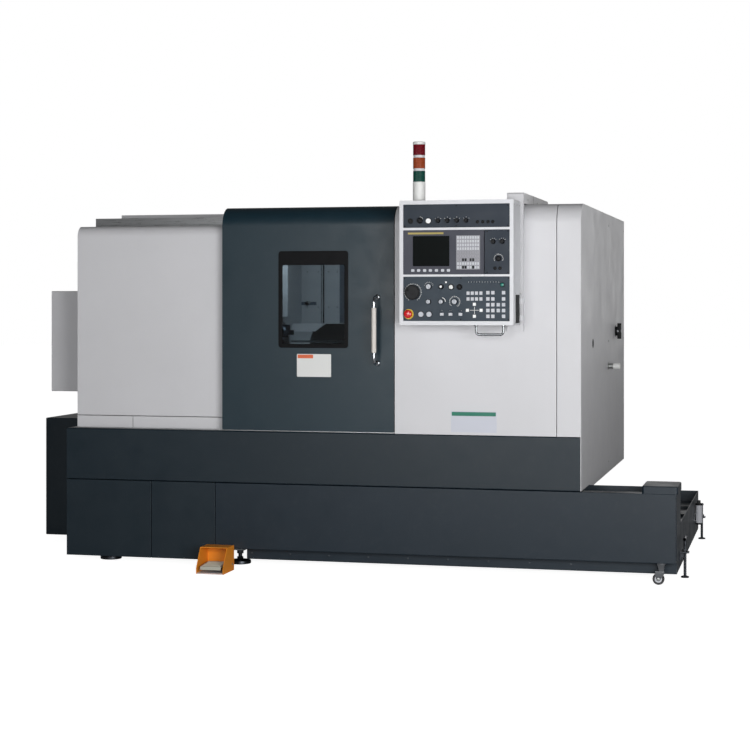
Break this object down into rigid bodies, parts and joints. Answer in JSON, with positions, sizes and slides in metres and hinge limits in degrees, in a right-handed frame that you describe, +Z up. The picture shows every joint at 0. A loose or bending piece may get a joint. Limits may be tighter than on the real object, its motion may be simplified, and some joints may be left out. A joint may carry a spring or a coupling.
{
  "type": "cnc turning lathe",
  "caption": "Slant-bed turning lathe with a sliding front door, window, swivelling operator panel, signal lamp, roll-out coolant tank and foot switch.",
  "frame": {"origin": "on the floor, under the middle of the whole machine's bounding box", "axes": "+X to the operator's right along the spindle, +Y from the operator's side towards the back, +Z up"},
  "size_m": [3.535, 2.2826, 2.091],
  "materials": {
    "dark_paint": "semi-gloss blue-grey powder coat",
    "door_paint": "semi-gloss blue-grey powder coat",
    "light_paint": "semi-gloss light grey powder coat",
    "tank_paint": "semi-gloss blue-grey paint",
    "liner_paint": "satin light grey",
    "machine_paint": "painted casting, satin",
    "ground_steel": "ground and turned steel",
    "blued_steel": "blackened steel",
    "chrome": "bright chrome",
    "zinc": "bright zinc plate",
    "belt_rubber": "ribbed belt rubber",
    "wheel_rubber": "cast wheel",
    "tinted_glass": "laminated, lightly tinted",
    "black_frame": "black satin",
    "grip_cream": "moulded sleeve",
    "panel_light": "fine textured paint",
    "panel_dark": "printed film on sheet",
    "bezel_grey": "moulded bezel",
    "black_plastic": "moulded, semi-gloss",
    "white_plastic": "moulded, semi-gloss",
    "stop_red": "moulded, glossy",
    "lens_red": "ribbed translucent lens",
    "lens_amber": "ribbed translucent lens",
    "lens_green": "ribbed translucent lens",
    "guard_orange": "orange enamel on sheet"
  },
  "bodies": {
    "machine": {"bed_casting": "machine_paint", "leveling_feet": "blued_steel", "headstock": "machine_paint", "spindle_motor": "machine_paint", "drive_belt": "belt_rubber", "chamber_liner": "liner_paint", "base_front_cover": "dark_paint", "base_access_covers": "dark_paint", "base_side_covers": "dark_paint", "hydraulic_cabinet": "dark_paint", "headstock_cover": "light_paint", "headstock_sill_panels": "light_paint", "spindle_end_cover": "light_paint", "right_front_cover": "light_paint", "right_side_panel": "light_paint", "roof_panel": "light_paint", "electrical_cabinet": "light_paint", "door_rails": "ground_steel", "top_duct": "light_paint", "pedal_guard": "guard_orange"},
    "door": {"front_door": "door_paint", "window_frame": "black_frame", "window_glass": "tinted_glass", "door_handle": "chrome", "door_grip": "grip_cream"},
    "spindle": {"spindle": "ground_steel", "chuck": "ground_steel"},
    "jaw_1": {"chuck_jaw_1": "blued_steel"},
    "jaw_2": {"chuck_jaw_2": "blued_steel"},
    "jaw_3": {"chuck_jaw_3": "blued_steel"},
    "carriage": {"carriage": "machine_paint"},
    "cross_slide": {"turret_housing": "machine_paint"},
    "turret": {"turret_disc": "blued_steel"},
    "tailstock": {"tailstock": "machine_paint"},
    "quill": {"tailstock_quill": "ground_steel"},
    "cabinet_door": {"cabinet_door": "light_paint"},
    "breaker": {"breaker_handle": "black_plastic"},
    "pendant": {"pendant_housing": "panel_light", "control_panels": "panel_dark", "display_unit": "bezel_grey", "pendant_handle": "chrome", "stack_light_post": "white_plastic", "stack_lens_red": "lens_red", "stack_lens_amber": "lens_amber", "stack_lens_green": "lens_green"},
    "handwheel": {"handwheel": "black_plastic"},
    "estop": {"estop_button": "stop_red"},
    "mode_selector": {"mode_selector": "black_plastic"},
    "feed_override": {"feed_override_knob": "black_plastic"},
    "cycle_start": {"cycle_start_button": "white_plastic"},
    "feed_hold": {"feed_hold_button": "black_plastic"},
    "tank": {"coolant_tank": "tank_paint", "pump_cover": "tank_paint", "outrigger_jacks": "blued_steel", "level_gauge": "zinc"},
    "caster_front": {"caster_fork_front": "chrome"},
    "wheel_front": {"caster_wheel_front": "wheel_rubber"},
    "caster_rear": {"caster_fork_rear": "chrome"},
    "wheel_rear": {"caster_wheel_rear": "wheel_rubber"},
    "pedal": {"pedal_tread": "zinc"}
  },
  "joints": [
    {"name": "door_slide", "type": "slide", "parent": "machine", "child": "door", "axis": [-1, 0, 0], "range_m": [0, 0.78]},
    {"name": "spindle_spin", "type": "hinge", "parent": "machine", "child": "spindle", "pos_m": [-0.4635, -0.37825, 1.1], "axis": [1, 0, 0], "continuous": true},
    {"name": "jaw_1_slide", "type": "slide", "parent": "spindle", "child": "jaw_1", "axis": [0, 0, -1], "range_m": [0, 0.0044]},
    {"name": "jaw_2_slide", "type": "slide", "parent": "spindle", "child": "jaw_2", "axis": [0, 0.866, 0.5], "range_m": [0, 0.0044]},
    {"name": "jaw_3_slide", "type": "slide", "parent": "spindle", "child": "jaw_3", "axis": [0, -0.866, 0.5], "range_m": [0, 0.0044]},
    {"name": "carriage_slide", "type": "slide", "parent": "machine", "child": "carriage", "axis": [-1, 0, 0], "range_m": [0, 0.5]},
    {"name": "cross_slide", "type": "slide", "parent": "carriage", "child": "cross_slide", "axis": [0, -0.7071, -0.7071], "range_m": [0, 0.18]},
    {"name": "turret_index", "type": "hinge", "parent": "cross_slide", "child": "turret", "pos_m": [0.2985, -0.1343, 1.34395], "axis": [1, 0, 0], "continuous": true},
    {"name": "tailstock_slide", "type": "slide", "parent": "machine", "child": "tailstock", "axis": [-1, 0, 0], "range_m": [0, 0.43]},
    {"name": "quill_slide", "type": "slide", "parent": "tailstock", "child": "quill", "axis": [-1, 0, 0], "range_m": [0, 0.12]},
    {"name": "cabinet_door_swing", "type": "hinge", "parent": "machine", "child": "cabinet_door", "pos_m": [0.171, 1.13575, 1.2], "axis": [0, 0, 1], "range_deg": [0, 110]},
    {"name": "breaker_turn", "type": "hinge", "parent": "machine", "child": "breaker", "pos_m": [1.2805, 0.65075, 1.167], "axis": [1, 0, 0], "range_deg": [0, 90]},
    {"name": "pendant_swivel", "type": "hinge", "parent": "machine", "child": "pendant", "pos_m": [0.9995, -0.93425, 1.5], "axis": [0, 0, 1], "range_deg": [0, 75]},
    {"name": "handwheel_spin", "type": "hinge", "parent": "pendant", "child": "handwheel", "pos_m": [0.5135, -1.11425, 1.375], "axis": [0, 1, 0], "continuous": true},
    {"name": "estop_push", "type": "slide", "parent": "pendant", "child": "estop", "axis": [0, 1, 0], "range_m": [0, 0.006]},
    {"name": "mode_selector_turn", "type": "hinge", "parent": "pendant", "child": "mode_selector", "pos_m": [0.5905, -1.11425, 1.402], "axis": [0, 1, 0], "range_deg": [-75, 75]},
    {"name": "feed_override_turn", "type": "hinge", "parent": "pendant", "child": "feed_override", "pos_m": [0.7145, -1.11425, 1.331], "axis": [0, 1, 0], "range_deg": [-135, 135]},
    {"name": "cycle_start_push", "type": "slide", "parent": "pendant", "child": "cycle_start", "axis": [0, 1, 0], "range_m": [0, 0.003], "stiffness_N_per_m": 500},
    {"name": "feed_hold_push", "type": "slide", "parent": "pendant", "child": "feed_hold", "axis": [0, 1, 0], "range_m": [0, 0.003], "stiffness_N_per_m": 500},
    {"name": "tank_slide", "type": "slide", "parent": "machine", "child": "tank", "axis": [1, 0, 0], "range_m": [0, 1.2]},
    {"name": "caster_front_swivel", "type": "hinge", "parent": "tank", "child": "caster_front", "pos_m": [1.6525, -0.86225, 0.06], "axis": [0, 0, 1], "continuous": true},
    {"name": "wheel_front_spin", "type": "hinge", "parent": "caster_front", "child": "wheel_front", "pos_m": [1.6405, -0.86225, 0.0283], "axis": [0, 1, 0], "continuous": true},
    {"name": "caster_rear_swivel", "type": "hinge", "parent": "tank", "child": "caster_rear", "pos_m": [1.6525, 0.94575, 0.06], "axis": [0, 0, 1], "continuous": true},
    {"name": "wheel_rear_spin", "type": "hinge", "parent": "caster_rear", "child": "wheel_rear", "pos_m": [1.6405, 0.94575, 0.0283], "axis": [0, 1, 0], "continuous": true},
    {"name": "pedal_press", "type": "hinge", "parent": "machine", "child": "pedal", "pos_m": [-0.5825, -0.92825, 0.034], "axis": [1, 0, 0], "range_deg": [0, 5], "stiffness_Nm_per_rad": 30, "springref_deg": -1.72}
  ],
  "couplings": [
    {"joint": "jaw_2_slide", "follows": "jaw_1_slide", "ratio": 1},
    {"joint": "jaw_3_slide", "follows": "jaw_1_slide", "ratio": 1}
  ]
}
